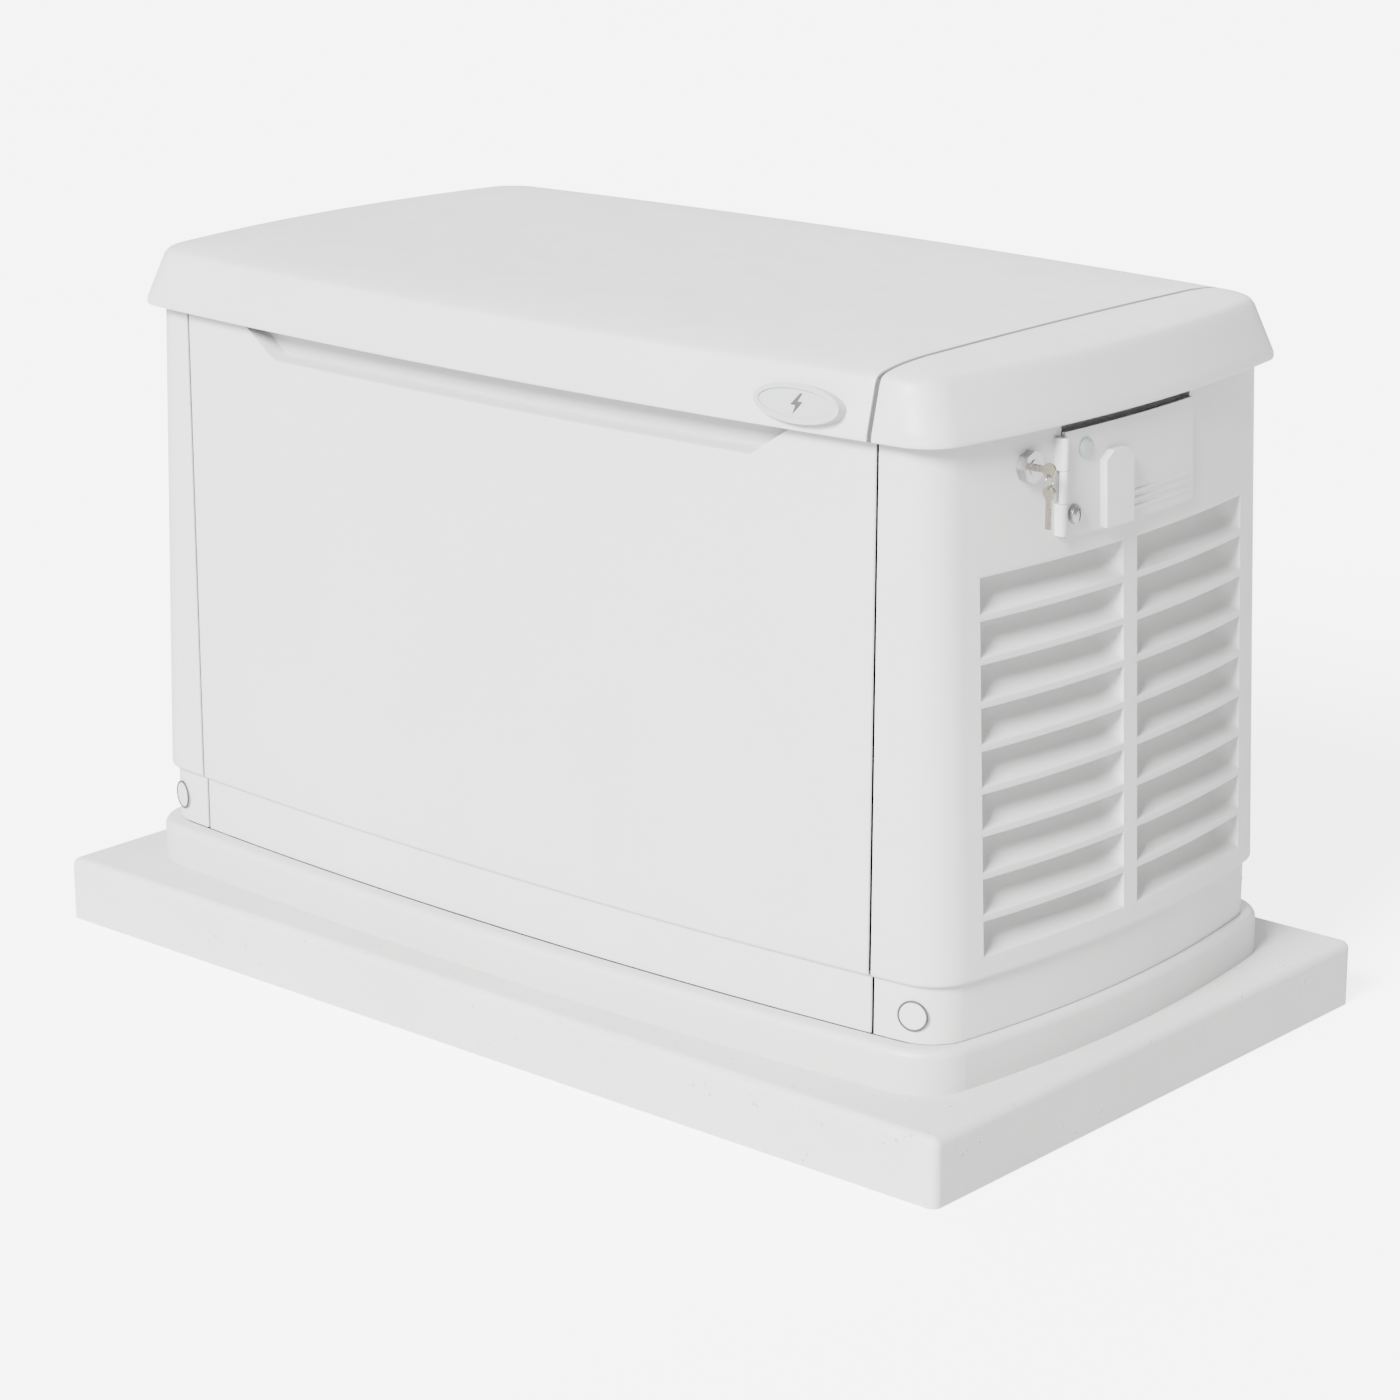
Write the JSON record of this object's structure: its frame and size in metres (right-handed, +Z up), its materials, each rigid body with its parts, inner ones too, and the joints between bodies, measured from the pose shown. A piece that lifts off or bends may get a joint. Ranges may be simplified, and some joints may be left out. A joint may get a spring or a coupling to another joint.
{
  "type": "home standby generator",
  "caption": "Home standby generator: bowed housing with hinged roof, louvred ends, keyed lock and breaker door, engine and alternator inside, on a pad.",
  "frame": {"origin": "middle of the mounting pad's underside", "axes": "+X along the housing towards the end with the lock, +Y to the rear, +Z up"},
  "size_m": [1.318, 0.768, 0.829],
  "materials": {
    "pad": "cast composite, fine aggregate texture",
    "tray": "moulded, fine grain",
    "housing": "moulded composite, fine leather grain",
    "gasket": "matt",
    "badge": "satin with a raised rim",
    "zinc": "zinc plated",
    "lock_metal": "polished, slightly worn",
    "key_metal": "nickel over brass, worn",
    "painted_steel": "powder coat",
    "sheet": "galvanised sheet",
    "cast_aluminium": "as cast",
    "cast_steel": "machined and cast",
    "black_plastic": "moulded",
    "red_plastic": "moulded",
    "green_plastic": "moulded",
    "amber_plastic": "moulded",
    "foam": "open foam sheet",
    "rubber": "matt",
    "lens": "clear tinted",
    "lamination": "painted core"
  },
  "bodies": {
    "root": {"mounting_pad": "pad", "base_tray": "tray", "pad_anchor_bolts": "zinc", "rear_panel": "housing", "left_end_panel": "housing", "right_end_panel": "housing", "right_louvres": "housing", "left_louvres": "housing", "lifting_hole_plugs": "housing", "roof_hinge_brackets": "zinc", "roof_hinge_pins": "zinc", "lock_housing": "lock_metal", "door_hinge_knuckles": "housing", "door_hinge_pin": "zinc", "breaker_cabinet": "black_plastic", "main_breaker": "black_plastic", "engine_frame": "painted_steel", "vibration_mounts": "rubber", "crankcase": "cast_aluminium", "cylinders": "cast_aluminium", "valve_covers": "painted_steel", "blower_housing": "black_plastic", "alternator_stator": "lamination", "alternator_end_bracket": "cast_aluminium", "rotor_bearing": "zinc", "starter_motor": "painted_steel", "intake_manifold": "cast_aluminium", "air_cleaner": "black_plastic", "exhaust_pipes": "sheet", "muffler": "sheet", "partition_wall": "sheet", "control_box": "painted_steel", "battery": "black_plastic", "battery_cables": "rubber", "gas_regulator": "cast_aluminium", "gas_hose": "rubber"},
    "front": {"front_panel": "housing"},
    "roof": {"roof_panel": "housing", "roof_end_cap": "housing", "roof_seam_trim": "gasket", "roof_liner": "foam", "roof_hinge_leaves": "zinc", "roof_badge": "badge", "roof_keeper": "zinc"},
    "lock": {"lock_plug": "lock_metal", "lock_cam": "zinc", "key": "key_metal"},
    "key_ring": {"key_ring": "key_metal"},
    "spare_key": {"spare_key": "key_metal"},
    "breaker_door": {"breaker_door": "housing", "breaker_door_pull": "housing", "status_lens": "lens"},
    "breaker_door_screw": {"breaker_door_screw": "zinc"},
    "breaker_lever": {"breaker_lever": "black_plastic"},
    "shaft": {"crankshaft": "cast_steel", "flywheel_fan": "cast_aluminium", "alternator_rotor": "lamination"},
    "auto_button": {"auto_button": "green_plastic"},
    "off_button": {"off_button": "red_plastic"},
    "manual_button": {"manual_button": "amber_plastic"}
  },
  "joints": [
    {"name": "roof_hinge", "type": "hinge", "parent": "root", "child": "roof", "pos_m": [0, 0.343, 0.75], "axis": [-1, 0, 0], "range_deg": [0, 75]},
    {"name": "front_panel_pull", "type": "slide", "parent": "root", "child": "front", "axis": [0, -1, 0], "range_m": [0, 0.25]},
    {"name": "lock_turn", "type": "hinge", "parent": "root", "child": "lock", "pos_m": [0.599, -0.164, 0.714], "axis": [-1, 0, 0], "range_deg": [0, 90]},
    {"name": "key_ring_swing", "type": "hinge", "parent": "lock", "child": "key_ring", "pos_m": [0.6175, -0.164, 0.7095], "axis": [0, -1, 0], "range_deg": [-10, 60]},
    {"name": "spare_key_swing", "type": "hinge", "parent": "key_ring", "child": "spare_key", "pos_m": [0.6175, -0.164, 0.6953], "axis": [0, -1, 0], "range_deg": [0, 50]},
    {"name": "breaker_door_hinge", "type": "hinge", "parent": "root", "child": "breaker_door", "pos_m": [0.6032, -0.12, 0.6865], "axis": [0, 0, -1], "range_deg": [0, 110]},
    {"name": "breaker_door_screw_turn", "type": "hinge", "parent": "breaker_door", "child": "breaker_door_screw", "pos_m": [0.601, -0.1, 0.655], "axis": [1, 0, 0], "range_deg": [0, 90]},
    {"name": "breaker_lever_throw", "type": "hinge", "parent": "root", "child": "breaker_lever", "pos_m": [0.554, 0, 0.686], "axis": [0, 1, 0], "range_deg": [0, 40]},
    {"name": "shaft_spin", "type": "hinge", "parent": "root", "child": "shaft", "pos_m": [0, 0, 0.318], "axis": [1, 0, 0], "continuous": true},
    {"name": "auto_button_press", "type": "slide", "parent": "root", "child": "auto_button", "axis": [0, 0, -1], "range_m": [0, 0.002], "stiffness_N_per_m": 900, "springref_m": -0.001},
    {"name": "off_button_press", "type": "slide", "parent": "root", "child": "off_button", "axis": [0, 0, -1], "range_m": [0, 0.002], "stiffness_N_per_m": 900, "springref_m": -0.001},
    {"name": "manual_button_press", "type": "slide", "parent": "root", "child": "manual_button", "axis": [0, 0, -1], "range_m": [0, 0.002], "stiffness_N_per_m": 900, "springref_m": -0.001}
  ]
}
